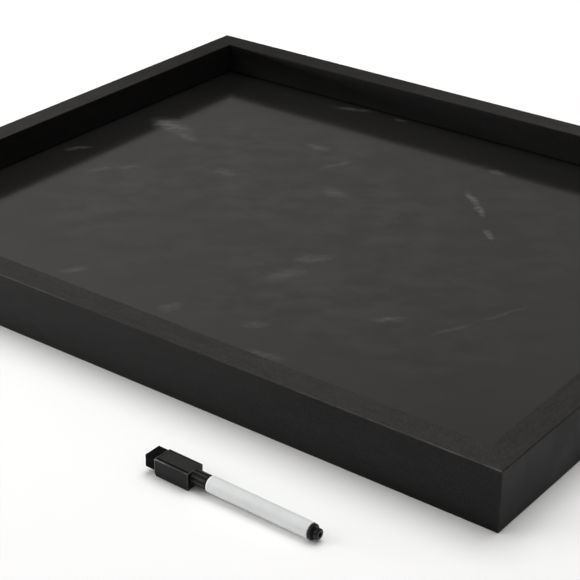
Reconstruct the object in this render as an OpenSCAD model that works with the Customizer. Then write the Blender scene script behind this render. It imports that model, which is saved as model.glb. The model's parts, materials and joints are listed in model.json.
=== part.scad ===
// Framed dry-erase board lying on its back, with its own capped marker in front of it.
// Millimetres, +Z up. The origin is the middle of the floor that board and marker cover together.

/* [Board] */
// Length of the frame, left to right
board_l = 533; // [360:1:900]
// Width of the frame, bottom rail to top rail
board_w = 432; // [300:1:700]
// Height of the frame from its back plane to its rim
frame_h = 37.5; // [34:0.5:60]

/* [Frame rails] */
// Width of a rail across its top
rail_w = 18; // [17:0.5:30]
// Depth of the writing face below the rim
recess_d = 23.5; // [12:0.5:25]
// Width of the rear rabbet that takes the panel
rabbet_w = 5; // [3:0.5:6]
// Radius of the eased edges and outer corners
edge_r = 0.8; // [0.3:0.1:2]

/* [Panel] */
// Thickness of the lacquered writing sheet
sheet_t = 0.6; // [0.3:0.1:1.5]
// Thickness of the fibreboard core behind the sheet
core_t = 5; // [3:0.5:6]
// Play between the panel's edge and the rabbet, on each side
panel_gap = 0.25; // [0.1:0.05:0.8]

/* [Corner nails] */
// Length of one wing of a V-nail
nail_wing = 6; // [3:0.5:7]
// Thickness of a V-nail's steel
nail_t = 0.5; // [0.3:0.1:0.8]
// Depth to which a V-nail is pressed in
nail_h = 10; // [5:0.5:12]
// Distance of the outer V-nail's bend from both outer faces
nail_inset = 7.5; // [7.2:0.1:8.5]
// Distance between the bends of the two V-nails at one corner
nail_pitch = 4; // [2:0.5:4]
// Wood clearance round a V-nail
nail_fit = 0.04; // [0.02:0.01:0.1]

/* [Panel points] */
// Length of a steel point
point_l = 16; // [12:0.5:20]
// Width of a steel point
point_w = 8; // [5:0.5:12]
// Thickness of a steel point
point_t = 0.6; // [0.4:0.1:1]
// Length of a point that is driven into the rail
point_bite = 8; // [5:0.5:10]
// Length of a point's sharpened end
point_tip = 3; // [1:0.5:4]
// Wood clearance round a point
point_fit = 0.05; // [0.02:0.01:0.1]
// Number of points along a long rail
points_long = 3; // [2:1:6]
// Number of points along a side rail
points_side = 2; // [1:1:3]

/* [Keyhole hangers] */
// Length of a keyhole plate
plate_l = 44; // [42:0.5:60]
// Width of a keyhole plate
plate_w = 10; // [9:0.1:10.5]
// Thickness of a keyhole plate
plate_t = 1.2; // [0.8:0.1:2]
// Pocket clearance round a keyhole plate
plate_fit = 0.15; // [0.05:0.05:0.3]
// Distance from the frame's upper edge to the middle of a plate
plate_drop = 60; // [40:1:100]
// Diameter of the round hole that a wall screw's head enters
entry_d = 7; // [6:0.1:8]
// Distance of the round hole below the middle of the plate
entry_drop = 5; // [3:0.5:8]
// Width of the slot that the wall screw's neck runs in
slot_w = 3.6; // [3:0.1:4.5]
// Distance from the round hole to the end of the slot, between centres
slot_run = 11; // [8:0.5:13]
// Depth of the hollow behind the plate, for the wall screw's head
hollow_d = 8; // [5:0.5:12]
// Room in that hollow round the screw's head
hollow_room = 0.75; // [0.3:0.05:1]
// Distance between the two fixing screws of a plate
screw_span = 35; // [33:0.5:37]
// Diameter of a fixing screw's shank
screw_d = 2.2; // [1.6:0.1:3]
// Diameter of a fixing screw's head
screw_head_d = 4.6; // [3.8:0.1:6]
// Length of a fixing screw
screw_l = 12; // [8:0.5:16]
// Clearance round a fixing screw
screw_fit = 0.05; // [0.03:0.01:0.15]
// Length of the cross cut in a screw's head
cross_l = 2.5; // [1.5:0.1:3]
// Width of the cross cut
cross_w = 0.6; // [0.4:0.1:1]
// Depth of the cross cut
cross_d = 0.7; // [0.4:0.1:1]

/* [Marker barrel] */
// Outside diameter of the barrel
barrel_d = 9.3; // [8:0.1:11]
// Length of the barrel
barrel_l = 66; // [50:1:90]
// Wall of the barrel
barrel_wall = 0.8; // [0.6:0.1:1.2]
// Radius of the barrel's eased ends
barrel_edge = 0.3; // [0.1:0.05:0.35]
// Play between pressed-in pieces and the barrel's bore
press_gap = 0.05; // [0.02:0.01:0.1]
// Distance of the marker's axis in front of the frame
marker_gap = 60.6; // [20:0.1:120]
// Place of the barrel's mouth along the board's length
marker_x = 128; // [-120:1:160]

/* [Marker inside] */
// Length of the nose inside the barrel
nose_in = 8; // [5:0.5:12]
// Length of the nose's straight part in front of the barrel
nose_straight = 11; // [8:0.5:12]
// Length of the nose's cone
nose_cone = 4; // [2:0.5:6]
// Diameter of the nose's front end
nose_end_d = 4; // [3.2:0.1:5]
// Diameter of the nib
nib_d = 2.2; // [1.2:0.1:2.6]
// Length of the nib in front of the nose
nib_out = 4.5; // [3:0.5:6]
// Length of the nib inside the ink core
nib_tail = 3; // [2:0.5:6]
// Play between the ink core and the barrel's bore
core_play = 0.4; // [0.1:0.1:0.8]

/* [Marker end plug] */
// Length of the plug inside the barrel
plug_in = 6; // [4:0.5:10]
// Diameter of the plug's flange
flange_d = 8.8; // [7.5:0.1:8.9]
// Thickness of the plug's flange
flange_l = 2; // [1.9:0.1:4]
// Diameter of the waist behind the flange
waist_d = 5.2; // [4:0.1:5.8]
// Length of the waist
waist_l = 0.8; // [0.5:0.1:3]
// Diameter of the knob
knob_d = 6.2; // [6:0.1:8]
// Length of the knob
knob_l = 2.6; // [2:0.1:5]
// Radius of the eased edges of the flange and the knob
plug_edge = 0.6; // [0.2:0.1:0.9]

/* [Marker cap] */
// Width of the cap's block
block_w = 12.8; // [11.6:0.1:15]
// Height of the cap's block
block_h = 10.8; // [10.2:0.1:14]
// Length of the cap's block
block_l = 23.5; // [23:0.5:32]
// Radius of the block's eased edges
block_edge = 0.7; // [0.3:0.1:1.2]
// Height of the slant at the block's lower outer end
slant_h = 2.8; // [1:0.1:3]
// Length of that slant
slant_l = 1.6; // [0.5:0.1:3]
// Diameter of the cap's round skirt
skirt_d = 7.8; // [7.4:0.1:9]
// Length of the cap's round skirt
skirt_l = 10.4; // [6:0.1:12]
// Wall of the skirt
skirt_wall = 0.8; // [0.5:0.1:1]
// Radius of the skirt's eased mouth
skirt_edge = 0.3; // [0.1:0.1:0.4]
// Number of grip ribs round the skirt
rib_n = 10; // [6:1:18]
// Radius of a grip rib
rib_r = 0.5; // [0.2:0.05:0.6]
// Play between the cap's bore and the nose
cap_play = 0.15; // [0.05:0.05:0.3]
// Gap between the cap's mouth and the barrel
cap_seat = 0.15; // [0.05:0.05:0.3]
// Room in front of the nib inside the cap
nib_room = 2; // [1:0.5:3]

/* [Cap eraser and magnet] */
// Length of the felt eraser
eraser_l = 7; // [4:0.5:10]
// Width of the felt eraser
eraser_w = 11.4; // [8:0.1:11.6]
// Height of the felt eraser
eraser_h = 7.8; // [5:0.1:8.2]
// Radius of the eraser's eased edges
eraser_edge = 0.6; // [0.2:0.1:1.2]
// Distance of the eraser's top below the top of the block
eraser_drop = 0.3; // [0:0.1:1]
// Length of the magnet
magnet_l = 21.5; // [12:0.5:22]
// Width of the magnet
magnet_w = 8.2; // [5:0.1:9]
// Thickness of the magnet
magnet_t = 1; // [0.8:0.1:1.8]
// Distance of the magnet's top below the top of the block
magnet_sink = 0.15; // [0:0.05:0.4]
// Gap at each end of the magnet in its seat
magnet_end_gap = 0.3; // [0.05:0.05:0.4]
// Width of the glue channel along each side of the magnet
magnet_side_gap = 1; // [0.2:0.1:1.2]
// Wall between the magnet's seat and the cap's bore below it
seat_wall = 0.35; // [0.3:0.05:1]
// Radius of the magnet's eased corners
magnet_corner = 0.8; // [0.3:0.1:2]

/* [Hidden] */
$fn = 64;
// Overshoot of a cut past the face that it opens
over = 1;
// Colours of the finishes
frame_black = [0.14, 0.14, 0.13];
sheet_black = [0.05, 0.05, 0.05];
fibre_brown = [0.47, 0.33, 0.21];
zinc_grey = [0.72, 0.73, 0.74];
barrel_white = [0.90, 0.90, 0.90];
plastic_black = [0.10, 0.10, 0.10];
felt_black = [0.06, 0.06, 0.06];
magnet_grey = [0.20, 0.20, 0.20];
fibre_white = [0.88, 0.87, 0.84];
ink_black = [0.03, 0.03, 0.04];

// Height of the writing face and of the panel's back above the back plane
face_z = frame_h - recess_d;
panel_back_z = face_z - sheet_t - core_t;
// Full-height part of a rail, beside the rabbet
land_w = rail_w - rabbet_w;
// Distance of the board's middle behind the origin
board_y = (marker_gap + block_w / 2) / 2;
// Panel that fits the rabbet with its play
panel_l = board_l - 2 * land_w - 2 * panel_gap;
panel_w = board_w - 2 * land_w - 2 * panel_gap;

// Bore of the barrel and of the cap, and the nose that fits the cap's bore
bore_r = barrel_d / 2 - barrel_wall;
cap_bore_r = skirt_d / 2 - skirt_wall;
nose_r = cap_bore_r - cap_play;
nose_l = nose_straight + nose_cone;
cap_bore_l = nose_l + nib_out + nib_room;
// Places along the marker's axis, counted from the barrel's mouth towards the end plug
skirt_x = -cap_seat - skirt_l;
block_x = skirt_x - block_l;
// Top and bottom of the block about the marker's axis, which runs close under the magnet's seat
block_top = cap_bore_r + seat_wall + magnet_t + magnet_sink;
block_low = block_top - block_h;
// The marker lies on the block's inner lower edge and on the barrel's end
marker_tilt = atan((-block_low - barrel_d / 2) / (barrel_l - skirt_x));
marker_z = -block_low * cos(marker_tilt) + skirt_x * sin(marker_tilt);

// Sides of the frame, counted from the front anticlockwise: front, right, back, left
function side_length(side) = side % 2 == 0 ? board_l : board_w;
function side_reach(side) = side % 2 == 0 ? board_w / 2 : board_l / 2;

// Board's own frame: the centre of its back plane
module on_board() {
  translate([0, board_y, 0])
    children();
}

// Puts a piece that lies along X, with its outer face at Y = 0, on one side of the frame
module at_side(side) {
  rotate(90 * side)
    translate([0, -side_reach(side), 0])
      children();
}

// Scrap between a square corner at the given place and its round easing
module corner_scrap(place, turn, radius) {
  translate(place)
    rotate(turn)
      difference() {
        translate([-over, -over])
          square(radius + over);
        translate([radius, radius])
          circle(radius);
      }
}

// Rectangle about the origin with four eased corners
module eased_rectangle(width, height, radius) {
  difference() {
    square([width, height], center = true);
    corner_scrap([-width / 2, -height / 2], 0, radius);
    corner_scrap([width / 2, -height / 2], 90, radius);
    corner_scrap([width / 2, height / 2], 180, radius);
    corner_scrap([-width / 2, height / 2], 270, radius);
  }
}

// Block about the origin with all its edges eased
module eased_block(length, width, height, radius) {
  intersection() {
    linear_extrude(height, center = true)
      eased_rectangle(length, width, radius);
    rotate([90, 0, 0])
      linear_extrude(width, center = true)
        eased_rectangle(length, height, radius);
    rotate([90, 0, 90])
      linear_extrude(length, center = true)
        eased_rectangle(width, height, radius);
  }
}

// Rail section: from the outer face inwards, and from the back plane up to the rim
module rail_section() {
  difference() {
    square([rail_w, frame_h]);
    translate([land_w, -over])
      square([rabbet_w + over, face_z + over]);
    corner_scrap([0, 0], 0, edge_r);
    corner_scrap([0, frame_h], 270, edge_r);
    corner_scrap([rail_w, frame_h], 180, edge_r);
  }
}

// One length of rail with both ends cut to 45 degrees
module mitred_rail(length) {
  intersection() {
    rotate([90, 0, 90])
      linear_extrude(length, center = true)
        rail_section();
    linear_extrude(frame_h)
      polygon([
        [-length / 2, 0],
        [length / 2, 0],
        [length / 2 - rail_w, rail_w],
        [rail_w - length / 2, rail_w]
      ]);
  }
}

// Both V-nails of every corner, each grown by the given clearance
module v_nail_set(grow) {
  outer = nail_t / 2 + grow;
  tip = nail_wing + grow;
  for (right = [0, 1], back = [0, 1], bend = [nail_inset, nail_inset + nail_pitch])
    mirror([right, 0, 0])
      mirror([0, back, 0])
        translate([bend - board_l / 2, bend - board_w / 2, -grow])
          linear_extrude(nail_h + 2 * grow)
            polygon([
              [outer, outer], [outer, -tip], [-outer, -tip],
              [-outer, -outer], [-tip, -outer], [-tip, outer]
            ]);
}

// Every steel point, its sharp end in the rail and its flat on the panel's back
module point_set(grow) {
  for (side = [0 : 3]) {
    count = side % 2 == 0 ? points_long : points_side;
    pitch = (side_length(side) - 2 * rail_w) / (count + 1);
    at_side(side)
      for (i = [0 : count - 1])
        translate([(i - (count - 1) / 2) * pitch, land_w - point_bite, panel_back_z - point_t - grow])
          linear_extrude(point_t + 2 * grow)
            polygon([
              [0, -grow], [point_w / 2 + grow, point_tip - grow], [point_w / 2 + grow, point_l],
              [-point_w / 2 - grow, point_l], [-point_w / 2 - grow, point_tip - grow]
            ]);
  }
}

// Middle of the keyhole plate on the left (-1) or right (1) side rail
module at_keyhole(hand) {
  translate([hand * (board_l / 2 - land_w / 2), board_w / 2 - plate_drop, 0])
    children();
}

// Long hole or plate with round ends, from one centre to the other along Y
module round_ended(low, high, radius, height) {
  translate([-radius, low, 0])
    cube([2 * radius, high - low, height]);
  for (y = [low, high])
    translate([0, y, 0])
      cylinder(r = radius, h = height);
}

// Places of a plate's two fixing screws
module at_screws() {
  for (end = [-1, 1])
    translate([0, end * screw_span / 2, 0])
      children();
}

// Countersunk screw pointing up, with its head's face at Z = 0, grown by the given clearance
module screw_form(grow) {
  cylinder(d1 = screw_head_d + 2 * grow, d2 = screw_d + 2 * grow, h = plate_t);
  cylinder(d = screw_d + 2 * grow, h = screw_l - screw_d + grow);
  translate([0, 0, screw_l - screw_d + grow])
    cylinder(d1 = screw_d + 2 * grow, d2 = 2 * grow, h = screw_d);
}

module keyhole_plate() {
  straight = (plate_l - plate_w) / 2;
  difference() {
    round_ended(-straight, straight, plate_w / 2, plate_t);
    translate([0, -entry_drop, -over])
      cylinder(d = entry_d, h = plate_t + 2 * over);
    translate([0, 0, -over])
      round_ended(-entry_drop, slot_run - entry_drop, slot_w / 2, plate_t + 2 * over);
    at_screws()
      screw_form(screw_fit);
  }
}

// What a side rail loses to its keyhole plate, screws and the wall screw's head
module keyhole_pocket() {
  straight = (plate_l - plate_w) / 2;
  translate([0, 0, -over])
    round_ended(-straight, straight, plate_w / 2 + plate_fit, plate_t + over);
  round_ended(-entry_drop, slot_run - entry_drop, entry_d / 2 + hollow_room, plate_t + hollow_d);
  at_screws()
    screw_form(screw_fit);
}

module frame_rail(side) {
  color(frame_black)
    on_board()
      difference() {
        intersection() {
          at_side(side)
            mitred_rail(side_length(side));
          linear_extrude(frame_h)
            eased_rectangle(board_l, board_w, edge_r);
        }
        v_nail_set(nail_fit);
        point_set(point_fit);
        if (side % 2 == 1)
          at_keyhole(2 - side)
            keyhole_pocket();
      }
}

module rail_front() { frame_rail(0); }
module rail_right() { frame_rail(1); }
module rail_back() { frame_rail(2); }
module rail_left() { frame_rail(3); }

module corner_v_nails() {
  color(zinc_grey)
    on_board()
      v_nail_set(0);
}

module panel_layer(bottom, thickness) {
  translate([-panel_l / 2, -panel_w / 2, bottom])
    cube([panel_l, panel_w, thickness]);
}

module writing_sheet() {
  color(sheet_black)
    on_board()
      panel_layer(face_z - sheet_t, sheet_t);
}

module core_panel() {
  color(fibre_brown)
    on_board()
      panel_layer(panel_back_z, core_t);
}

module panel_points() {
  color(zinc_grey)
    on_board()
      point_set(0);
}

module keyhole_plate_left() {
  color(zinc_grey)
    on_board()
      at_keyhole(-1)
        keyhole_plate();
}

module keyhole_plate_right() {
  color(zinc_grey)
    on_board()
      at_keyhole(1)
        keyhole_plate();
}

module keyhole_screws() {
  color(zinc_grey)
    on_board()
      for (hand = [-1, 1])
        at_keyhole(hand)
          at_screws()
            difference() {
              screw_form(0);
              for (turn = [0, 90])
                rotate(turn)
                  cube([cross_l, cross_w, 2 * cross_d], center = true);
            }
}

// Marker's own frame: its axis along X, the barrel's mouth at X = 0, the end plug at +X
module in_marker() {
  translate([marker_x, board_y - board_w / 2 - marker_gap, marker_z])
    rotate([0, marker_tilt, 0])
      children();
}

// Revolves a section of [radius, place along the axis] about the marker's axis
module turned() {
  rotate([0, 90, 0])
    rotate_extrude()
      children();
}

// Section of a round bar from one place along the axis to another, with eased ends
module bar(from, to, radius, ease = 0) {
  difference() {
    translate([0, from])
      square([radius, to - from]);
    if (ease > 0) {
      corner_scrap([radius, from], 90, ease);
      corner_scrap([radius, to], 180, ease);
    }
  }
}

module marker_barrel() {
  color(barrel_white)
    in_marker()
      turned()
        difference() {
          bar(0, barrel_l, barrel_d / 2, barrel_edge);
          bar(-over, barrel_l + over, bore_r);
        }
}

module marker_nose() {
  color(plastic_black)
    in_marker()
      turned()
        difference() {
          polygon([
            [0, nose_in], [bore_r - press_gap, nose_in], [bore_r - press_gap, 0],
            [nose_r, 0], [nose_r, -nose_straight],
            [nose_end_d / 2, -nose_l], [0, -nose_l]
          ]);
          bar(-nose_l - over, nose_in + over, nib_d / 2 + press_gap);
        }
}

module marker_nib() {
  tip = nib_d / 2 - nose_l - nib_out;
  color(ink_black)
    in_marker()
      turned() {
        bar(tip, nose_in + nib_tail, nib_d / 2);
        intersection() {
          translate([0, tip])
            circle(nib_d / 2);
          bar(tip - nib_d, tip, nib_d);
        }
      }
}

module marker_ink_core() {
  color(fibre_white)
    in_marker()
      turned()
        difference() {
          bar(nose_in, barrel_l - plug_in, bore_r - core_play);
          bar(nose_in - over, nose_in + nib_tail + press_gap, nib_d / 2 + press_gap);
        }
}

module marker_end_plug() {
  waist_x = barrel_l + flange_l;
  knob_x = waist_x + waist_l;
  color(plastic_black)
    in_marker()
      turned() {
        bar(barrel_l - plug_in, barrel_l, bore_r - press_gap);
        bar(barrel_l, waist_x, flange_d / 2, plug_edge);
        bar(waist_x, knob_x, waist_d / 2);
        bar(knob_x, knob_x + knob_l, knob_d / 2, plug_edge);
      }
}

// Seat of the magnet in the top side of the block, or the magnet itself with no gaps
module magnet_form(end_gap, side_gap, above) {
  translate([block_x + block_l / 2, 0, block_top - magnet_sink - magnet_t])
    linear_extrude(magnet_t + above)
      eased_rectangle(magnet_l + 2 * end_gap, magnet_w + 2 * side_gap, magnet_corner);
}

module marker_cap() {
  color(plastic_black)
    in_marker()
      difference() {
        union() {
          translate([block_x + block_l / 2, 0, block_top - block_h / 2])
            eased_block(block_l, block_w, block_h, block_edge);
          turned()
            bar(skirt_x - block_edge, -cap_seat, skirt_d / 2, skirt_edge);
          for (i = [0 : rib_n - 1])
            rotate([(i + 0.5) * 360 / rib_n, 0, 0])
              translate([skirt_x, 0, skirt_d / 2])
                rotate([0, 90, 0])
                  cylinder(r = rib_r, h = skirt_l - 2 * rib_r);
        }
        translate([-cap_bore_l, 0, 0])
          rotate([0, 90, 0])
            cylinder(r = cap_bore_r, h = cap_bore_l + over);
        magnet_form(magnet_end_gap, magnet_side_gap, magnet_sink + over);
        rotate([90, 0, 0])
          linear_extrude(block_w + 2 * over, center = true)
            polygon([
              [block_x, block_low + slant_h],
              [block_x + slant_l, block_low],
              [block_x + slant_l, block_low - over],
              [block_x - over, block_low - over],
              [block_x - over, block_low + slant_h]
            ]);
      }
}

module cap_eraser() {
  color(felt_black)
    in_marker()
      translate([block_x - eraser_l / 2, 0, block_top - eraser_drop - eraser_h / 2])
        eased_block(eraser_l, eraser_w, eraser_h, eraser_edge);
}

module cap_magnet() {
  color(magnet_grey)
    in_marker()
      magnet_form(0, 0, 0);
}

rail_front();
rail_right();
rail_back();
rail_left();
corner_v_nails();
writing_sheet();
core_panel();
panel_points();
keyhole_plate_left();
keyhole_plate_right();
keyhole_screws();
marker_barrel();
marker_nose();
marker_nib();
marker_ink_core();
marker_end_plug();
marker_cap();
cap_eraser();
cap_magnet();
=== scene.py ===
"""Looks of a deep-framed black dry-erase board and its own marker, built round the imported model."""

import json
import math

import bmesh
import bpy
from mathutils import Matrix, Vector
from mathutils.noise import noise as value_noise


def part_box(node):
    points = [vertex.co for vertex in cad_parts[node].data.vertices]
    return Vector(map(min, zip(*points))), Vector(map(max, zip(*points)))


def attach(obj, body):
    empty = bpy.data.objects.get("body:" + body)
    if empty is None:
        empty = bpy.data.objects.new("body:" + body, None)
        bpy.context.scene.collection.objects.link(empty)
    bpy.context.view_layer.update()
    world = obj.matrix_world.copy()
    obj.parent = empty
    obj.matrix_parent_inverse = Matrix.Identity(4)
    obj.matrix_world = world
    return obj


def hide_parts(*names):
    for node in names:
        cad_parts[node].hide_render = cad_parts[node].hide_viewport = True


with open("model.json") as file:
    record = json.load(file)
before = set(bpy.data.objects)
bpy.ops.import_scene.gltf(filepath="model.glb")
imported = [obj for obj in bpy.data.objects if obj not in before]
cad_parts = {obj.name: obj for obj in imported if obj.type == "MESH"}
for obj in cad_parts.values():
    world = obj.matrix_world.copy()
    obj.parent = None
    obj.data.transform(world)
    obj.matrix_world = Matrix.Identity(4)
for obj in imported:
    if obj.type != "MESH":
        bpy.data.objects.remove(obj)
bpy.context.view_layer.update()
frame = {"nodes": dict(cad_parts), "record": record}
node = frame["nodes"]
MM = 0.001


# Frame rails
# Four lengths of fibreboard moulding, rabbeted behind, mitred and glued into a deep frame. Satin black
# paint was sprayed on after gluing, so the mitres hardly show and the paint has a fine grain.

def add(tree, kind, inputs=None, **settings):
    """Adds a shader node, sets its own settings, and links or sets the sockets named in inputs."""
    made = tree.nodes.new("ShaderNode" + kind)
    for name, value in settings.items():
        setattr(made, name, value)
    for name, value in (inputs or {}).items():
        if isinstance(value, bpy.types.NodeSocket):
            tree.links.new(value, made.inputs[name])
        else:
            made.inputs[name].default_value = value
    return made


def grey(level, warmth=0.0):
    """Opaque grey of that linear level, a little warmer or cooler."""
    return (level * (1 + warmth), level, level * (1 - warmth), 1.0)


def blend(tree, share, low, high):
    """Colour between two colours by a share from 0 to 1."""
    return add(tree, "Mix", {0: share, 6: low, 7: high}, data_type="RGBA").outputs[2]


def span(tree, value, low, high, to_low=0.0, to_high=1.0):
    """Value taken smoothly from one range to another, without overshoot."""
    mapped = add(tree, "MapRange", {0: value, 1: low, 2: high, 3: to_low, 4: to_high},
                 interpolation_type="SMOOTHSTEP")
    return mapped.outputs[0]


def maths(tree, operation, first, second):
    """One step of arithmetic on two values."""
    return add(tree, "Math", {0: first, 1: second}, operation=operation).outputs[0]


def times(tree, first, second):
    """Product of two values."""
    return maths(tree, "MULTIPLY", first, second)


def vector_maths(tree, operation, first, second=(0.0, 0.0, 0.0)):
    """One step of arithmetic on places or directions; a dot product or a length is a value."""
    made = add(tree, "VectorMath", {0: first, 1: second}, operation=operation)
    return made.outputs["Value" if operation in ("DOT_PRODUCT", "LENGTH") else "Vector"]


def split(tree, vector):
    """X, Y and Z of a place or a direction."""
    return add(tree, "SeparateXYZ", {0: vector}).outputs


def noise(tree, place, scale, detail=2.0, roughness=0.5):
    """Soft random value at a place, with about scale bumps to a metre."""
    made = add(tree, "TexNoise", {"Vector": place, "Scale": scale, "Detail": detail, "Roughness": roughness})
    return made.outputs[0]


def turned_back(tree, place, turn):
    """Place as it would be if the pattern's turn about Z were undone."""
    made = add(tree, "VectorRotate", {"Vector": place, "Angle": turn}, rotation_type="Z_AXIS", invert=True)
    return made.outputs[0]


def lengthwise(tree, place, turn, along, across):
    """Place for a pattern that runs in the direction turned about Z, with so many features to a metre."""
    return vector_maths(tree, "MULTIPLY", turned_back(tree, place, turn), (along, across, across))


def ramp(tree, value, stops):
    """Grey that changes along a value, through stops that each have a place from 0 to 1 and a grey."""
    made = add(tree, "ValToRGB", {0: value})
    steps = made.color_ramp.elements
    while len(steps) < len(stops):
        steps.new(0.5)
    for step, (place, *tone) in zip(steps, stops):
        step.position = place
        step.color = grey(*tone)
    return made.outputs[0]


def new_group(name, inputs, outputs):
    """Empty shader group with named sockets; returns its tree, what it is given and what it results in."""
    tree = bpy.data.node_groups.new(name, "ShaderNodeTree")
    for direction, sockets in (("INPUT", inputs), ("OUTPUT", outputs)):
        for socket, kind in sockets.items():
            tree.interface.new_socket(name=socket, in_out=direction, socket_type="NodeSocket" + kind)
    return tree, tree.nodes.new("NodeGroupInput").outputs, tree.nodes.new("NodeGroupOutput").inputs


def use(tree, group, inputs):
    """Places a shader group in a material and returns its outputs."""
    return add(tree, "Group", inputs, node_tree=group).outputs


def new_finish(name, **sockets):
    """New material with the even values of its Principled shader; also gives its tree, shader and place."""
    finish = bpy.data.materials.new(name)
    finish.use_nodes = True
    tree = finish.node_tree
    shader = tree.nodes["Principled BSDF"]
    for socket, value in sockets.items():
        shader.inputs[socket.replace("_", " ")].default_value = value
    return finish, tree, shader, add(tree, "TexCoord").outputs["Object"]


def surface(tree, shader, colour, roughness, relief, strength, depth):
    """Gives a shader its colour, its roughness and the fine relief of the real texture."""
    bumped = add(tree, "Bump", {"Height": relief, "Strength": strength, "Distance": depth})
    tree.links.new(colour, shader.inputs["Base Color"])
    tree.links.new(roughness, shader.inputs["Roughness"])
    tree.links.new(bumped.outputs[0], shader.inputs["Normal"])


def dress(finish, *names):
    """Gives CAD nodes their finish."""
    for name in names:
        node[name].material_slots[0].material = finish


# Grain of a sprayed or moulded surface: fine pimples and a slow change of tone
grain_group, given, result = new_group(
    "surface_grain",
    {"Place": "Vector", "Pimples": "Float", "Clouds": "Float"},
    {"Pimple": "Float", "Cloud": "Float"})
pimples = noise(grain_group, given["Place"], given["Pimples"], detail=3.0, roughness=0.6)
clouds = noise(grain_group, given["Place"], given["Clouds"], detail=4.0, roughness=0.55)
grain_group.links.new(pimples, result["Pimple"])
grain_group.links.new(clouds, result["Cloud"])

# Eased edges: the rounding that leads from one flat face to the next, rubbed in patches and painted lighter
# there as a highlight. A rounding starts and is full where the largest part of the normal has these sizes.
EASED = (0.997, 0.93)
EASED_PATCHES = (0.38, 0.60, 0.45, 1.0)
eased_group, given, result = new_group(
    "eased_edge",
    {"Place": "Vector", "Patches": "Float"},
    {"Rub_highlight": "Float"})
normal = add(eased_group, "NewGeometry").outputs["Normal"]
sides = split(eased_group, vector_maths(eased_group, "ABSOLUTE", normal))
flattest = maths(eased_group, "MAXIMUM", maths(eased_group, "MAXIMUM", sides["X"], sides["Y"]), sides["Z"])
patches = noise(eased_group, given["Place"], given["Patches"], detail=4.0, roughness=0.6)
rounding = span(eased_group, flattest, *EASED)
rubbed = times(eased_group, rounding, span(eased_group, patches, *EASED_PATCHES))
eased_group.links.new(rubbed, result["Rub_highlight"])

# Range that holds most of a soft random value
NOISE_MIDDLE = (0.3, 0.7)

PAINT_BLACK = grey(0.0058, 0.03)
PAINT_SPECKLED = grey(0.0112, 0.04)
PAINT_DUST_AND_LIGHT = grey(0.033, 0.05)
PAINT_RUBBED_HIGHLIGHT = grey(0.085)
PAINT_JOINT_SHADE = grey(0.0010)
PAINT_ROUGHNESS = (0.40, 0.52)
RUBBED_SMOOTHER = 0.12
# Pimples, clouds, spray marks along and across the rail, and patches of rubbing and painted highlight:
# features to a metre
PAINT_PIMPLES, PAINT_CLOUDS = 900, 22
SPRAY_ALONG, SPRAY_ACROSS = 55, 330
RUB_HIGHLIGHT_PATCHES = 50.0
SPRAY_SHARE = 0.28
SPECKLES = (0.38, 0.64)
# Dust and painted light on the rims and edges: share of it gained in a metre to the right and in a metre
# towards the front, which paints the far rims at the back and left darker as shade
DUST_AND_LIGHT_DRIFT = Vector((1.8, -3.6, 0.0))
DUST_SPECKLES = (0.36, 0.62)
DUST_THIN = 0.5
# Painted light low on the upper rail's inner wall, which lifts the shade at the bottom of the recess, and
# painted shade along the joint at the foot of all four walls: the heights at which each is full and gone
sheet_low, sheet_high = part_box("writing_sheet")
WALL_FOOT_LIGHT = 0.28
WALL_LIGHT_HEIGHTS = (sheet_high.z, sheet_high.z + 20 * MM)
JOINT_SHADE_HEIGHTS = (sheet_high.z + 0.8 * MM, sheet_high.z + 1.4 * MM)
# Where a face counts as one that looks up, to the front, in towards the frame's middle (in metres), or up
# and to the front: the values at which that starts and is full
UPWARD = (0.6, 0.95)
FORWARD = (-0.5, -0.9)
INWARD = (-0.05, -0.10)
FRONT_EDGE = (0.12, 0.42)
# Painted highlight along the front edge, where it faces the light from the front, with some rubbing: share of
# the way along it and strength
FRONT_EDGE_HIGHLIGHT = [
    (0.0, 0.3), (0.38, 0.5), (0.42, 0.5), (0.45, 0.12), (0.64, 0.16), (0.72, 0.35), (0.88, 0.6), (1.0, 1.0),
]
# Rubbing and a painted highlight on the other edges: more on upright ones, by how far the normal leans up or
# down
UPRIGHT_WEAR_HIGHLIGHT = (0.35, 0.10, 0.06, 0.25)

frame_low, frame_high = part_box("rail_left")[0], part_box("rail_right")[1]
frame_middle = (frame_low + frame_high) / 2
drift_start = DUST_AND_LIGHT_DRIFT.dot((frame_low.x, frame_high.y, 0.0))


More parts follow.
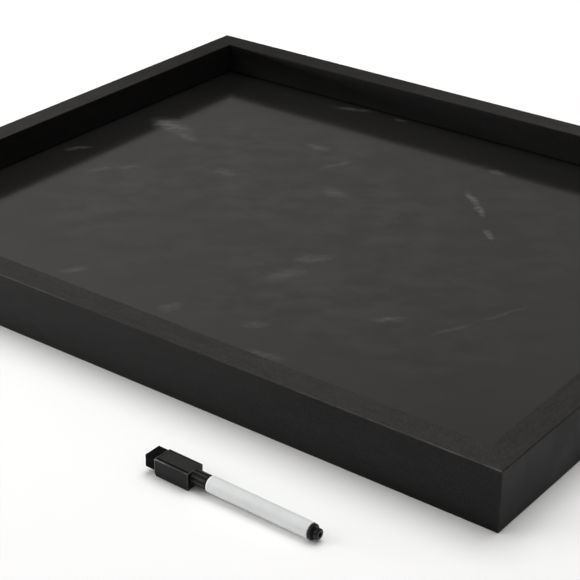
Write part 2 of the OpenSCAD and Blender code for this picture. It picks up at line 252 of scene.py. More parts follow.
def rail_paint(name, turn, dust_and_light):
    """Satin black paint, sprayed along the rails, with dust and painted light on the rims, painted light at
    the foot of the upper rail's wall, painted shade in the joint at the foot of the walls, and rubbed edges
    painted lighter as a highlight.
    """
    finish, tree, shader, place = new_finish(name, IOR=1.45, Specular_IOR_Level=0.13)
    normal = add(tree, "NewGeometry").outputs["Normal"]
    facing = split(tree, normal)
    along = split(tree, place)

    grain = use(tree, grain_group, {"Place": place, "Pimples": PAINT_PIMPLES, "Clouds": PAINT_CLOUDS})
    sprayed = lengthwise(tree, place, turn, SPRAY_ALONG, SPRAY_ACROSS)
    spray = noise(tree, sprayed, 1.0, detail=3.0, roughness=0.6)
    pimples = times(tree, grain["Pimple"], 1 - SPRAY_SHARE)
    speckles = maths(tree, "ADD", pimples, times(tree, spray, SPRAY_SHARE))
    speckled = blend(tree, span(tree, speckles, *SPECKLES), PAINT_BLACK, PAINT_SPECKLED)

    # Dust and painted light on the rims, fading towards the back left corner, where the rims are painted
    # darker as shade
    drift = vector_maths(tree, "DOT_PRODUCT", place, DUST_AND_LIGHT_DRIFT)
    dust_and_light_drift = span(tree, drift, drift_start, drift_start + 1.0)
    patchy = span(tree, speckles, *DUST_SPECKLES, DUST_THIN * dust_and_light, dust_and_light)
    on_rim = times(tree, span(tree, facing["Z"], *UPWARD), times(tree, patchy, dust_and_light_drift))
    from_middle = vector_maths(tree, "SUBTRACT", place, frame_middle)
    wall = span(tree, vector_maths(tree, "DOT_PRODUCT", from_middle, normal), *INWARD)
    # Painted light at the foot of the upper rail's inner wall
    upper_wall = times(tree, wall, span(tree, facing["Y"], *FORWARD))
    wall_foot_light = times(tree, upper_wall, span(tree, along["Z"], *WALL_LIGHT_HEIGHTS, WALL_FOOT_LIGHT, 0.0))
    dusted_and_lit = blend(tree, maths(tree, "MAXIMUM", on_rim, wall_foot_light), speckled, PAINT_DUST_AND_LIGHT)
    # Painted shade along the joint where each wall meets the sheet
    joint = times(tree, wall, span(tree, along["Z"], *JOINT_SHADE_HEIGHTS, 1.0, 0.0))
    joint_shaded = blend(tree, joint, dusted_and_lit, PAINT_JOINT_SHADE)

    # Rubbed edges painted lighter as a highlight: most along the front edge, less on upright edges
    rub_and_highlight = use(tree, eased_group, {"Place": place, "Patches": RUB_HIGHLIGHT_PATCHES})["Rub_highlight"]
    forward = times(tree, facing["Y"], -1.0)
    front_edge = span(tree, times(tree, forward, facing["Z"]), *FRONT_EDGE)
    sideways = add(tree, "MapRange", {0: along["X"], 1: frame_low.x, 2: frame_high.x}).outputs[0]
    front_highlight = times(tree, front_edge, ramp(tree, sideways, FRONT_EDGE_HIGHLIGHT))
    knocked_and_highlit = span(tree, maths(tree, "ABSOLUTE", facing["Z"], 0.0), *UPRIGHT_WEAR_HIGHLIGHT)
    worn_and_highlit = times(tree, times(tree, rub_and_highlight, maths(tree, "MAXIMUM", front_highlight, knocked_and_highlit)), dust_and_light_drift)
    satin = span(tree, grain["Cloud"], *NOISE_MIDDLE, *PAINT_ROUGHNESS)
    smoothed = maths(tree, "SUBTRACT", satin, times(tree, worn_and_highlit, RUBBED_SMOOTHER))
    colour = blend(tree, worn_and_highlit, joint_shaded, PAINT_RUBBED_HIGHLIGHT)
    surface(tree, shader, colour, smoothed, speckles, strength=0.4, depth=0.06 * MM)
    return finish


# The long rails' tops carry more dust and painted light than the short rails' tops
dress(rail_paint("satin_black_paint_long", turn=0.0, dust_and_light=1.05), "rail_front", "rail_back")
dress(rail_paint("satin_black_paint_short", turn=math.radians(90), dust_and_light=0.85), "rail_right", "rail_left")


# Corner V-nails
# Bent strips of zinc-plated steel, two to a corner, pressed across each mitre from behind. They hold the
# joint while its glue sets.

ZINC = (0.58, 0.59, 0.60, 1.0)
ZINC_DULL = (0.36, 0.37, 0.40, 1.0)
ZINC_SCRATCH = (0.25, 0.25, 0.26, 1.0)
ZINC_ROUGHNESS = (0.46, 0.30)
ZINC_CLOUDS = (0.36, 0.64)
CLOUD_SHARE, CLOUDS_PER_METRE = 0.6, 320.0
SCRATCH_SHARE, SCRATCHES = 0.35, (0.55, 0.75)
SCRATCHES_PER_METRE = (400.0, 9000.0, 9000.0)

# Plated steel: a cloudy, slightly scratched zinc skin
zinc_group, given, result = new_group(
    "zinc_skin",
    {"Place": "Vector", "Spangle": "Float"},
    {"Cloud": "Float", "Scratch": "Float"})
spangle = add(zinc_group, "TexVoronoi", {"Vector": given["Place"], "Scale": given["Spangle"]})
soft = noise(zinc_group, given["Place"], CLOUDS_PER_METRE, detail=4.0, roughness=0.6)
zinc_group.links.new(blend(zinc_group, CLOUD_SHARE, spangle.outputs["Color"], soft), result["Cloud"])
stretched = add(zinc_group, "Mapping", {0: given["Place"], "Scale": SCRATCHES_PER_METRE})
fine = noise(zinc_group, stretched.outputs[0], 1.0)
zinc_group.links.new(span(zinc_group, fine, *SCRATCHES), result["Scratch"])


def zinc_finish(name, spangle):
    """Zinc-plated steel with its cloudy skin."""
    finish, tree, shader, place = new_finish(name, Metallic=1.0)
    skin = use(tree, zinc_group, {"Place": place, "Spangle": spangle})
    cloud = span(tree, skin["Cloud"], *ZINC_CLOUDS)
    scratched = times(tree, skin["Scratch"], SCRATCH_SHARE)
    colour = blend(tree, scratched, blend(tree, cloud, ZINC_DULL, ZINC), ZINC_SCRATCH)
    dulled = maths(tree, "ADD", span(tree, cloud, 0.0, 1.0, *ZINC_ROUGHNESS), scratched)
    surface(tree, shader, colour, dulled, skin["Scratch"], strength=0.3, depth=0.01 * MM)
    return finish


dress(zinc_finish("plated_nail_steel", spangle=420.0), "corner_v_nails")


# Writing sheet
# Thin steel sheet with a gloss black writing lacquer, bonded to the panel behind it.
# Wiping leaves a thin grey haze on it, and short pale streaks where old ink wasn't rubbed off.

LACQUER = grey(0.0070, 0.03)
HAZE = grey(0.030, 0.05)
INK_DUST = grey(0.15, 0.01)
LACQUER_ROUGHNESS = (0.110, 0.145)
STREAK_COVER, STREAK_DULLING = 0.55, 0.3
# Wiping: its turn, wipes along and across and clouds between them, in features to a metre
WIPE_TURN = math.radians(38)
WIPES = (38.0, 58.0)
WIPE_CLOUDS = 15.0
WIPE_RANGE = (0.36, 0.66)
CLOUD_RANGE = (0.36, 0.64, 0.5, 1.0)
# Haze from the rim inwards, and from right to left: two places in metres and the share at each
WIPE_INSET = (0.030, 0.110, 0.60, 1.0)
WIPE_SIDES = (0.200, -0.100, 0.36, 0.58)
# Strip beside the walls, which the cloth smears evenly: its haze, and the insets where it ends
STRIP_HAZE = 0.66
STRIP_INSET = (0.036, 0.070)
# Less haze towards the corners: two distances from the corner in metres and the share at each
CORNER_HAZE_FADE = (0.020, 0.120, 0.10, 1.0)
# Streaks: middle across and along from the board's centre, length and width in mm, turn in degrees, strength
STREAKS = [
    (-206, 75, 56, 30, -10, 1.00), (-184, 66, 40, 14, -15, 0.55), (-233, -2, 30, 8, 55, 0.45),
    (-192, -22, 30, 10, 60, 0.50), (-178, -5, 26, 9, 45, 0.60), (-116, 30, 26, 18, 5, 0.45),
    (-90, 109, 28, 14, 0, 0.55), (-59, 92, 36, 7, 64, 0.45), (-30, 49, 30, 18, -5, 0.50),
    (-114, 190, 50, 10, 20, 0.50), (-72, 193, 14, 8, 0, 0.50), (52, 100, 34, 8, -40, 1.00),
    (66, 87, 30, 8, -44, 1.00), (92, 57, 22, 8, -39, 1.00), (42, 150, 20, 10, 0, 0.85),
    (21, -44, 40, 15, 50, 0.45), (20, -74, 44, 24, 70, 0.40), (107, -83, 32, 9, 45, 0.55),
    (144, -71, 44, 5, 62, 0.30), (159, -34, 50, 5, 68, 0.30), (-92, -151, 26, 12, 60, 0.50),
    (-9, -153, 24, 14, 70, 0.40), (47, -138, 24, 12, 45, 0.42), (75, -164, 34, 12, 10, 0.42),
]
STREAK_FADE = (1.0, 0.15)
# Ragged outline of the streaks and the flecks that break them up, in features to a metre
RAGS, RAG_DEPTH = 110.0, 6 * MM
FLECKS = (110.0, 300.0)
FLECK_RANGE = (0.38, 0.62, 0.35, 1.0)
# Slow waves of the thin sheet, to a metre
SHEET_WAVES = 60.0


def between(tree, share, low, high):
    """Value between two values by a share from 0 to 1."""
    return add(tree, "Mix", {0: share, 2: low, 3: high}).outputs[0]


# One pale streak on the sheet, fading towards its rim
streak_group, given, result = new_group(
    "wiped_streak",
    {"Place": "Vector", "Middle": "Vector", "Turn": "Float", "Size": "Vector", "Strength": "Float"},
    {"Mask": "Float"})
moved = vector_maths(streak_group, "SUBTRACT", given["Place"], given["Middle"])
shrunk = vector_maths(streak_group, "DIVIDE", turned_back(streak_group, moved, given["Turn"]), given["Size"])
fade = span(streak_group, vector_maths(streak_group, "LENGTH", shrunk), *STREAK_FADE)
streak_group.links.new(times(streak_group, fade, given["Strength"]), result["Mask"])

lacquer, tree, shader, place = new_finish("gloss_black_lacquer", IOR=1.5)
sheet_middle = (sheet_low + sheet_high) / 2
ragged = add(tree, "TexNoise", {"Vector": place, "Scale": RAGS, "Detail": 4.0, "Roughness": 0.6})
shove = vector_maths(tree, "SUBTRACT", ragged.outputs["Color"], (0.5, 0.5, 0.5))
shove = vector_maths(tree, "MULTIPLY", shove, (RAG_DEPTH, RAG_DEPTH, RAG_DEPTH))
warped = vector_maths(tree, "ADD", place, shove)
marks = None
for across, along, length, width, turn, strength in STREAKS:
    mask = use(tree, streak_group, {
        "Place": warped,
        "Middle": (across * MM, sheet_middle.y + along * MM, sheet_high.z),
        "Turn": math.radians(turn),
        "Size": (length / 2 * MM, width / 2 * MM, 1.0),
        "Strength": strength})["Mask"]
    marks = mask if marks is None else maths(tree, "MAXIMUM", marks, mask)
flecks = noise(tree, lengthwise(tree, place, WIPE_TURN, *FLECKS), 1.0, detail=3.0, roughness=0.65)
marks = times(tree, marks, span(tree, flecks, *FLECK_RANGE))

wiped = noise(tree, lengthwise(tree, place, WIPE_TURN, *WIPES), 1.0, detail=5.0, roughness=0.62)
clouds = noise(tree, place, WIPE_CLOUDS, detail=3.0, roughness=0.55)
clouded = times(tree, span(tree, wiped, *WIPE_RANGE), span(tree, clouds, *CLOUD_RANGE))
off_middle = vector_maths(tree, "SUBTRACT", place, sheet_middle)
spread = vector_maths(tree, "ABSOLUTE", off_middle)
insets = split(tree, vector_maths(tree, "SUBTRACT", (sheet_high - sheet_low) / 2, spread))
from_rim = maths(tree, "MINIMUM", insets["X"], insets["Y"])
from_corner = maths(tree, "MAXIMUM", insets["X"], insets["Y"])
haze = between(tree, span(tree, from_rim, *STRIP_INSET), STRIP_HAZE, clouded)
sideways = span(tree, split(tree, off_middle)["X"], *WIPE_SIDES)
reached = times(tree, span(tree, from_rim, *WIPE_INSET), sideways)
reached = times(tree, reached, span(tree, from_corner, *CORNER_HAZE_FADE))
hazed = blend(tree, times(tree, haze, reached), LACQUER, HAZE)
streaked = blend(tree, times(tree, marks, STREAK_COVER), hazed, INK_DUST)
gloss = span(tree, haze, 0.0, 1.0, *LACQUER_ROUGHNESS)
dulled = maths(tree, "ADD", gloss, times(tree, marks, STREAK_DULLING))
surface(tree, shader, streaked, dulled, noise(tree, place, SHEET_WAVES), strength=0.15, depth=0.2 * MM)
dress(lacquer, "writing_sheet")


# Core panel
# Brown hardboard that stiffens the sheet. Its smooth side is glued to the steel, and its back shows the
# print of the wire screen that it was pressed on.

BOARD_BROWN = (0.200, 0.118, 0.062, 1.0)
BOARD_DARK = (0.105, 0.058, 0.030, 1.0)
BOARD_PALE = (0.300, 0.195, 0.115, 1.0)
BOARD_ROUGHNESS = (0.62, 0.80)
BOARD_HAIRS = 420.0
DARK_HAIRS, PALE_HAIRS = (0.30, 0.62), (0.58, 0.74)
PALE_CLUMPS = (0.35, 0.65)
SCREEN_PITCH = 1.6 * MM

# Matted fibres: short pale and dark hairs lying every way
CLUMPS_PER_METRE = 35.0
fibre_group, given, result = new_group(
    "matted_fibre",
    {"Place": "Vector", "Hairs": "Float"},
    {"Hair": "Float", "Clump": "Float"})
curl = add(fibre_group, "TexNoise", {"Vector": given["Place"], "Scale": given["Hairs"],
                                     "Detail": 5.0, "Roughness": 0.7, "Distortion": 2.2})
fibre_group.links.new(curl.outputs[0], result["Hair"])
fibre_group.links.new(noise(fibre_group, given["Place"], CLUMPS_PER_METRE, detail=3.0), result["Clump"])

hardboard, tree, shader, place = new_finish("brown_hardboard", IOR=1.4)
fibres = use(tree, fibre_group, {"Place": place, "Hairs": BOARD_HAIRS})
browns = blend(tree, span(tree, fibres["Hair"], *DARK_HAIRS), BOARD_DARK, BOARD_BROWN)
pale = times(tree, span(tree, fibres["Hair"], *PALE_HAIRS), span(tree, fibres["Clump"], *PALE_CLUMPS))
turns = 2 * math.pi / SCREEN_PITCH
wires = split(tree, vector_maths(tree, "SINE", vector_maths(tree, "MULTIPLY", place, (turns, turns, turns))))
pressed = maths(tree, "ADD", times(tree, wires["X"], wires["Y"]), fibres["Hair"])
matt = span(tree, fibres["Clump"], *NOISE_MIDDLE, *BOARD_ROUGHNESS)
colour = blend(tree, pale, browns, BOARD_PALE)
surface(tree, shader, colour, matt, pressed, strength=0.5, depth=0.12 * MM)
dress(hardboard, "core_panel")


# Panel points
# Flat diamond-ended points of zinc-plated steel, driven into the rabbet's wall. Their tails lie over the
# panel's back and hold it down.

dress(zinc_finish("plated_point_steel", spangle=300.0), "panel_points")


# Keyhole plates
# Stamped steel hangers, let flush into the side rails. The round hole takes a wall screw's head and the
# slot above it holds the neck.

dress(zinc_finish("plated_hanger_steel", spangle=180.0), "keyhole_plate_left", "keyhole_plate_right")


# Keyhole screws
# Small countersunk wood screws of plated steel with a cross cut, two to a plate. They are driven into the
# side rails through the plate's ends.

dress(zinc_finish("plated_screw_steel", spangle=500.0), "keyhole_screws")


# Marker barrel
# Extruded white plastic tube with a smooth, slightly waxy gloss. Its cut mouth is painted paler as a
# highlight, and the nose and the end plug are pressed into its ends.

BARREL_WHITE = (0.738, 0.754, 0.752, 1.0)
BARREL_SHADE = (0.685, 0.700, 0.699, 1.0)
BARREL_LIP_HIGHLIGHT = (0.86, 0.87, 0.87, 1.0)
BARREL_ROUGHNESS = (0.30, 0.40)
BARREL_GRAIN = {"Pimples": 900.0, "Clouds": 70.0}
# Painted highlight on the lip: distances from the mouth where it starts and is full
LIP_START, LIP_FULL = 1.5 * MM, 0.7 * MM

white_plastic, tree, shader, place = new_finish("white_barrel_plastic", IOR=1.47)
grain = use(tree, grain_group, {"Place": place, **BARREL_GRAIN})
tube = blend(tree, span(tree, grain["Cloud"], *NOISE_MIDDLE), BARREL_SHADE, BARREL_WHITE)
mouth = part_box("marker_barrel")[0].x
# Painted highlight: a paler ring at the barrel's cut mouth
lip_highlight = span(tree, split(tree, place)["X"], mouth + LIP_START, mouth + LIP_FULL)
waxy = span(tree, grain["Cloud"], *NOISE_MIDDLE, *BARREL_ROUGHNESS)
colour = blend(tree, lip_highlight, tube, BARREL_LIP_HIGHLIGHT)
surface(tree, shader, colour, waxy, grain["Pimple"], strength=0.1, depth=0.02 * MM)
dress(white_plastic, "marker_barrel")


# Ink core
# Rod of bonded pale fibre that holds the ink inside the barrel. It is slid in before the plug closes the
# barrel's end.

CORE_PALE = (0.70, 0.69, 0.65, 1.0)
CORE_INKED = (0.06, 0.06, 0.07, 1.0)
CORE_ROUGHNESS = (0.8, 0.95)
CORE_HAIRS, INKED_HAIRS = 1400.0, (0.35, 0.65)

core_fibre, tree, shader, place = new_finish("bonded_core_fibre", IOR=1.3)
fibres = use(tree, fibre_group, {"Place": place, "Hairs": CORE_HAIRS})
colour = blend(tree, span(tree, fibres["Hair"], *INKED_HAIRS), CORE_INKED, CORE_PALE)
matt = span(tree, fibres["Clump"], *NOISE_MIDDLE, *CORE_ROUGHNESS)
surface(tree, shader, colour, matt, fibres["Hair"], strength=0.5, depth=0.08 * MM)
dress(core_fibre, "marker_ink_core")


# Nib
# Bullet of pressed fibre, soaked with black ink. It is pushed through the nose, which grips it, and its
# back end draws ink from the core.

NIB_BLACK = (0.006, 0.006, 0.008, 1.0)
NIB_SHEEN = (0.022, 0.022, 0.028, 1.0)
NIB_ROUGHNESS = (0.55, 0.8)
NIB_HAIRS, SHINY_HAIRS = 3200.0, (0.4, 0.65)

nib_fibre, tree, shader, place = new_finish("inked_nib_fibre", IOR=1.35)
fibres = use(tree, fibre_group, {"Place": place, "Hairs": NIB_HAIRS})
colour = blend(tree, span(tree, fibres["Hair"], *SHINY_HAIRS), NIB_BLACK, NIB_SHEEN)
matt = span(tree, fibres["Hair"], *NOISE_MIDDLE, *NIB_ROUGHNESS)
surface(tree, shader, colour, matt, fibres["Hair"], strength=0.5, depth=0.04 * MM)
dress(nib_fibre, "marker_nib")


# Nose
# Black plastic moulding, pressed into the barrel's mouth. Its bore grips the nib, and the cap slides over
# it and seats on it.

PLASTIC_BLACK = grey(0.0050, 0.01)
PLASTIC_WORN_HIGHLIGHT = grey(0.24)
# Pimples and clouds of a round moulding, and patches of rubbing and painted highlight on its rims: features
# to a metre
ROUND_PIMPLES, PLASTIC_CLOUDS = 3000.0, 120.0
RIM_PATCHES = 260.0
RIM_REACH = 0.35 * MM
ROUGHNESS_CHANGE = 0.1

# Rubbed rims painted lighter as a highlight: where a sharp rim turns a corner, in patches. The rim starts and
# is full where the rounded normal and the true one agree this far.
RIM_TURN = (0.99, 0.80)
RIM_PATCHY = (0.45, 0.62)
rim_highlight_group, given, result = new_group(
    "rim_rub_highlight",
    {"Place": "Vector", "Reach": "Float", "Patches": "Float"},
    {"Rub_highlight": "Float"})
rounded = add(rim_highlight_group, "Bevel", {"Radius": given["Reach"]}, samples=6)
normal = add(rim_highlight_group, "NewGeometry").outputs["Normal"]
corner = span(rim_highlight_group, vector_maths(rim_highlight_group, "DOT_PRODUCT", rounded.outputs[0], normal), *RIM_TURN)
patches = noise(rim_highlight_group, given["Place"], given["Patches"], detail=5.0, roughness=0.65)
rim_highlight_group.links.new(times(rim_highlight_group, corner, span(rim_highlight_group, patches, *RIM_PATCHY)), result["Rub_highlight"])


def black_plastic(name, roughness, wear_and_highlight, pimples=ROUND_PIMPLES, shine=0.18):
    """Moulded black plastic with the fine texture of its mould; the mask it is given marks its rubbed edges,
    painted lighter as wear and as a highlight.
    """
    finish, tree, shader, place = new_finish(name, IOR=1.46, Specular_IOR_Level=shine)
    grain = use(tree, grain_group, {"Place": place, "Pimples": pimples, "Clouds": PLASTIC_CLOUDS})
    colour = blend(tree, wear_and_highlight(tree, place), PLASTIC_BLACK, PLASTIC_WORN_HIGHLIGHT)
    satin = span(tree, grain["Cloud"], *NOISE_MIDDLE, roughness, roughness + ROUGHNESS_CHANGE)
    surface(tree, shader, colour, satin, grain["Pimple"], strength=0.25, depth=0.03 * MM)
    return finish


def rim_wear_and_highlight(tree, place):
    """Rubbed rims of a round moulding, painted lighter as wear and as a highlight."""
    return use(tree, rim_highlight_group, {"Place": place, "Reach": RIM_REACH, "Patches": RIM_PATCHES})["Rub_highlight"]


dress(black_plastic("black_nose_plastic", roughness=0.36, wear_and_highlight=rim_wear_and_highlight), "marker_nose")


# End plug
# Black plastic moulding pressed into the barrel's other end: a flange, a waist and a knob, which is
# moulded hollow at its end. The hollow is cut into a copy of the plug's mesh.

# Hollow, from the knob's flat end inwards: radius and depth of each ring
KNOB_HOLLOW = [(1.40 * MM, 0.0), (1.28 * MM, 0.08 * MM), (1.18 * MM, 0.98 * MM)]
WELD = 0.001 * MM
END_FLATNESS = 0.01 * MM
SHARP_EDGE = math.radians(30)

pull = next(joint for joint in frame["record"]["behaviour"]["joints"] if joint["name"] == "cap_pull")
marker_axis = -Vector(pull["axis"])
work = bmesh.new()
work.from_mesh(node["marker_end_plug"].data)
bmesh.ops.remove_doubles(work, verts=work.verts, dist=WELD)
far_end = max(vert.co.dot(marker_axis) for vert in work.verts) - END_FLATNESS
flat = [face for face in work.faces if min(vert.co.dot(marker_axis) for vert in face.verts) > far_end]
flat = bmesh.ops.dissolve_faces(work, faces=flat)["region"]
middle = flat[0].calc_center_bounds()
for radius, depth in KNOB_HOLLOW:
    flat = bmesh.ops.extrude_discrete_faces(work, faces=flat)["faces"]
    for vert in flat[0].verts:
        spoke = vert.co - middle
        spoke -= marker_axis * spoke.dot(marker_axis)
        vert.co = middle + spoke.normalized() * radius - marker_axis * depth
for face in work.faces:
    face.smooth = True
plug_mesh = bpy.data.meshes.new("hollow_end_plug")
work.to_mesh(plug_mesh)
work.free()
plug_mesh.attributes.remove(plug_mesh.attributes["custom_normal"])
plug_mesh.set_sharp_from_angle(angle=SHARP_EDGE)
plug = bpy.data.objects.new("hollow_end_plug", plug_mesh)
bpy.context.scene.collection.objects.link(plug)
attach(plug, "marker")
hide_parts("marker_end_plug")
# The plug's rims, the hollow's rim among them, are painted lighter as a highlight
plug_mesh.materials.append(black_plastic("black_plug_plastic", roughness=0.28, wear_and_highlight=rim_wear_and_highlight, shine=0.30))


# Cap
# One black moulding: a square block that stops the marker rolling, and a ribbed round skirt that grips the
# nose. The block's rubbed edges, most at its eraser end, and the tops of the ribs are painted lighter as a
# highlight.

BLOCK_PIMPLES = 2400.0
BLOCK_PATCHES = 180.0
# Rubbing and painted highlight on the block's edges, brightest at the eraser's end as a painted glint: length
# over which it fades from that end, and what is left of it
BLOCK_FADE, BLOCK_HIGHLIGHT = 12 * MM, 0.28
# Skirt: distances from the magnet's end where it starts and is full, radii of the ribs, and the painted
# highlight on their rubbed tops
SKIRT_START, SKIRT_FULL = 1.2 * MM, 1.6 * MM
RIB_FOOT, RIB_TOP = 4.0 * MM, 4.35 * MM
RIB_HIGHLIGHT = 0.16


def cap_wear_and_highlights(tree, place):
    """Rubbed roundings of the cap's block, most at its eraser end, and rubbed tops of the skirt's ribs, all
    painted lighter as a highlight.
    """
    rub_and_highlight = use(tree, eased_group, {"Place": place, "Patches": BLOCK_PATCHES})["Rub_highlight"]
    along = split(tree, place)["X"]
    block_start, block_end = (corner.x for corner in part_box("cap_magnet"))
    rub_and_highlight = times(tree, rub_and_highlight, span(tree, along, block_start + BLOCK_FADE, block_start, BLOCK_HIGHLIGHT, 1.0))
    on_skirt = span(tree, along, block_end + SKIRT_START, block_end + SKIRT_FULL)
    tube_low, tube_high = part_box("marker_barrel")
    away = vector_maths(tree, "SUBTRACT", place, (tube_low + tube_high) / 2)
    radius = vector_maths(tree, "LENGTH", vector_maths(tree, "CROSS_PRODUCT", away, marker_axis))
    rib_highlight = span(tree, radius, RIB_FOOT, RIB_TOP, 0.0, RIB_HIGHLIGHT)
    return between(tree, on_skirt, rub_and_highlight, rib_highlight)


cap_plastic = black_plastic("black_cap_plastic", roughness=0.30, wear_and_highlight=cap_wear_and_highlights, pimples=BLOCK_PIMPLES)
dress(cap_plastic, "marker_cap")


# Cap magnet
# Flat bar of dark sintered ferrite, glued into its seat in the top of the cap, so that the marker sticks
# to the board.

FERRITE = grey(0.030, 0.02)
FERRITE_DARK = grey(0.014)
FERRITE_ROUGHNESS = (0.5, 0.6)
FERRITE_GRAIN = {"Pimples": 2600.0, "Clouds": 150.0}
GRAIN_RANGE = (0.35, 0.65)

ferrite, tree, shader, place = new_finish("sintered_ferrite", IOR=1.5, Specular_IOR_Level=0.2)
grain = use(tree, grain_group, {"Place": place, **FERRITE_GRAIN})
colour = blend(tree, span(tree, grain["Pimple"], *GRAIN_RANGE), FERRITE_DARK, FERRITE)
dull = span(tree, grain["Cloud"], *NOISE_MIDDLE, *FERRITE_ROUGHNESS)
surface(tree, shader, colour, dull, grain["Pimple"], strength=0.3, depth=0.03 * MM)
dress(ferrite, "cap_magnet")


# Magnet glue
# Dark grey resin that was run into the channel behind the magnet and sank a little as it set. Its mesh is
# the magnet's, narrowed and moved into the channel.

GLUE_GREY = grey(0.026, 0.02)
GLUE_ROUGHNESS = (0.30, 0.45)
GLUE_GRAIN = {"Pimples": 1800.0, "Clouds": 200.0}
GLUE_WIDTH = 0.98 * MM
GLUE_SUNK = 0.12 * MM

bar_low, bar_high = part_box("cap_magnet")
glue_mesh = node["cap_magnet"].data.copy()
for vertex in glue_mesh.vertices:
    share = (vertex.co.y - bar_low.y) / (bar_high.y - bar_low.y)
    vertex.co.y = bar_high.y + GLUE_WIDTH * share
    if vertex.co.z > (bar_low.z + bar_high.z) / 2:
        vertex.co.z -= GLUE_SUNK
glue = bpy.data.objects.new("magnet_glue", glue_mesh)
bpy.context.scene.collection.objects.link(glue)
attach(glue, "cap")

resin, tree, shader, place = new_finish("grey_resin", IOR=1.5, Specular_IOR_Level=0.25)
grain = use(tree, grain_group, {"Place": place, **GLUE_GRAIN})
colour = blend(tree, span(tree, grain["Cloud"], *GRAIN_RANGE), FERRITE_DARK, GLUE_GREY)
shiny = span(tree, grain["Cloud"], *NOISE_MIDDLE, *GLUE_ROUGHNESS)
surface(tree, shader, colour, shiny, grain["Cloud"], strength=0.4, depth=0.05 * MM)
glue_mesh.materials.clear()
glue_mesh.materials.append(resin)


# Cap eraser
# Block of dense black felt, cut square and glued on the end of the cap. Rubbing has rounded its corners
# and raised a short nap.

FELT_BLACK = grey(0.0022)
FELT_FUZZ = grey(0.018, 0.01)
FELT_ROUGHNESS = (0.85, 0.98)
FELT_HAIRS, FUZZY_HAIRS = 900.0, (0.48, 0.68)
FELT_GRID = 0.15 * MM
FELT_RUB, FELT_RUBS = 0.5, 10
FELT_LUMP, FELT_LUMP_SIZE = 0.10 * MM, 1.4 * MM
FELT_NAP, FELT_NAP_SIZE = 0.07 * MM, 0.35 * MM

eraser = bpy.data.objects.new("felt_eraser", node["cap_eraser"].data.copy())
bpy.context.scene.collection.objects.link(eraser)
grid = eraser.modifiers.new("felt_grid", "REMESH")
grid.mode = "VOXEL"
grid.voxel_size = FELT_GRID
rubbed = eraser.modifiers.new("rubbed_corners", "SMOOTH")
rubbed.factor = FELT_RUB
rubbed.iterations = FELT_RUBS
felted = bpy.data.meshes.new_from_object(eraser.evaluated_get(bpy.context.evaluated_depsgraph_get()))
eraser.modifiers.clear()
eraser.data = felted
outward = [vertex.normal.copy() for vertex in felted.vertices]
for vertex, away in zip(felted.vertices, outward):
    lump = FELT_LUMP * (0.5 + 0.5 * value_noise(vertex.co / FELT_LUMP_SIZE))
    nap = FELT_NAP * (0.5 + 0.5 * value_noise(vertex.co / FELT_NAP_SIZE))
    vertex.co -= away * (lump + nap)
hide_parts("cap_eraser")
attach(eraser, "cap")

felt, tree, shader, place = new_finish(
    "pressed_black_felt", IOR=1.3, Sheen_Weight=0.012, Sheen_Roughness=0.5, Specular_IOR_Level=0.1)
fibres = use(tree, fibre_group, {"Place": place, "Hairs": FELT_HAIRS})
colour = blend(tree, span(tree, fibres["Hair"], *FUZZY_HAIRS), FELT_BLACK, FELT_FUZZ)
matt = span(tree, fibres["Clump"], *NOISE_MIDDLE, *FELT_ROUGHNESS)
surface(tree, shader, colour, matt, fibres["Hair"], strength=0.6, depth=0.12 * MM)
felted.materials.clear()
felted.materials.append(felt)


# Studio
# White sweep in a pale room, seen through a long lens. A large softbox hangs high behind the board, and a
# weaker one and a low strip stand in front of it at the left.

FLOOR_SIDE = 60.0
FLOOR_BOUNCE = (0.80, 0.80, 0.80, 1.0)
FLOOR_SEEN = (1.0, 1.0, 1.0, 1.0)
# The sweep stays white where it runs out of the softboxes' light: its glow, and where that starts and is full
FAR_GLOW = 0.6
FAR_FLOOR = (0.5, 1.6)
# Light of the room: share of the way up to the zenith, level and warmth
ROOM_LIGHT = [
    (0.0, 0.11, 0.04), (0.20, 0.145, 0.04), (0.34, 0.248, 0.04), (0.45, 0.385, 0.03), (1.0, 0.56, 0.0),
]
# Sideways change of that light, brighter towards the left
ROOM_SIDES = (-0.40, -0.75, 0.96, 1.34)
# Softboxes: place in metres, width and height in metres, power in watts, and whether gloss mirrors it
SOFTBOXES = {
    "back_softbox": ((-0.14, 0.54, 1.92), 1.5, 1.5, 24.0, False),
    "front_softbox": ((-1.05, -1.10, 0.95), 0.9, 0.9, 5.0, True),
    "low_strip": ((-1.25, -0.85, 0.07), 0.7, 0.10, 13.0, True),
}
CAMERA_PLACE = Vector((0.6092, -0.8000, 0.5000))
CAMERA_AZIMUTH = math.radians(37.60)
CAMERA_PITCH = math.radians(27.34)
CAMERA_LENS = 104.33
SENSOR = 36.0

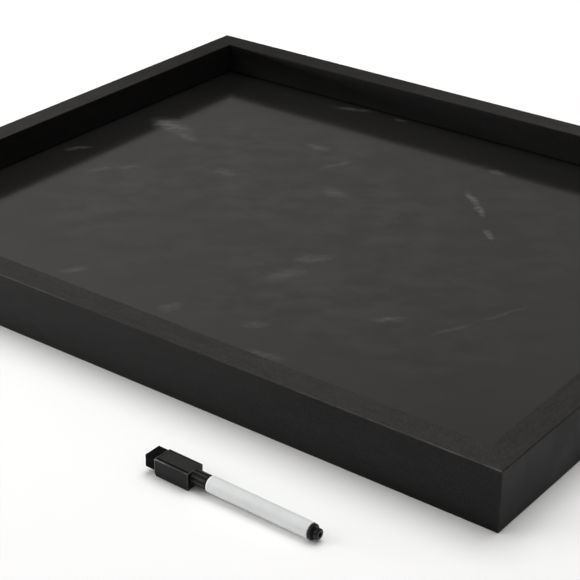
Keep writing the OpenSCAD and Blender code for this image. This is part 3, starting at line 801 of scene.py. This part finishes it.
half = FLOOR_SIDE / 2
corners = [(-half, -half, 0), (half, -half, 0), (half, half, 0), (-half, half, 0)]
floor_mesh = bpy.data.meshes.new("studio_floor")
floor_mesh.from_pydata(corners, [], [(0, 1, 2, 3)])
floor = bpy.data.objects.new("studio_floor", floor_mesh)
bpy.context.scene.collection.objects.link(floor)

sweep, tree, shader, place = new_finish(
    "white_sweep", Roughness=0.9, Specular_IOR_Level=0.0, Emission_Strength=FAR_GLOW)
path = add(tree, "LightPath").outputs
seen = maths(tree, "MAXIMUM", path["Is Camera Ray"], path["Is Glossy Ray"])
seen = maths(tree, "MAXIMUM", seen, path["Is Transmission Ray"])
tree.links.new(blend(tree, seen, FLOOR_BOUNCE, FLOOR_SEEN), shader.inputs["Base Color"])
far = times(tree, span(tree, vector_maths(tree, "LENGTH", place), *FAR_FLOOR), seen)
tree.links.new(far, shader.inputs["Emission Color"])
floor_mesh.materials.append(sweep)

room = bpy.data.worlds.new("pale_room")
room.use_nodes = True
bpy.context.scene.world = room
tree = room.node_tree
direction = split(tree, add(tree, "TexCoord").outputs["Generated"])
tree.links.new(ramp(tree, direction["Z"], ROOM_LIGHT), tree.nodes["Background"].inputs["Color"])
tree.links.new(span(tree, direction["X"], *ROOM_SIDES), tree.nodes["Background"].inputs["Strength"])

for name, (spot, width, height, power, mirrored) in SOFTBOXES.items():
    softbox = bpy.data.lights.new(name, "AREA")
    softbox.shape = "RECTANGLE"
    softbox.size = width
    softbox.size_y = height
    softbox.energy = power
    lamp = bpy.data.objects.new(name, softbox)
    lamp.visible_camera = False
    lamp.visible_glossy = mirrored
    lamp.location = spot
    lamp.rotation_euler = (-Vector(spot)).to_track_quat("-Z", "Y").to_euler()
    bpy.context.scene.collection.objects.link(lamp)

lens = bpy.data.cameras.new("photo_camera")
lens.sensor_width = SENSOR
lens.lens = CAMERA_LENS
camera = bpy.data.objects.new("photo_camera", lens)
camera.location = CAMERA_PLACE
camera.rotation_euler = (math.pi / 2 - CAMERA_PITCH, 0.0, CAMERA_AZIMUTH)
bpy.context.scene.collection.objects.link(camera)
bpy.context.scene.camera = camera
bpy.context.scene.view_settings.view_transform = "Standard"
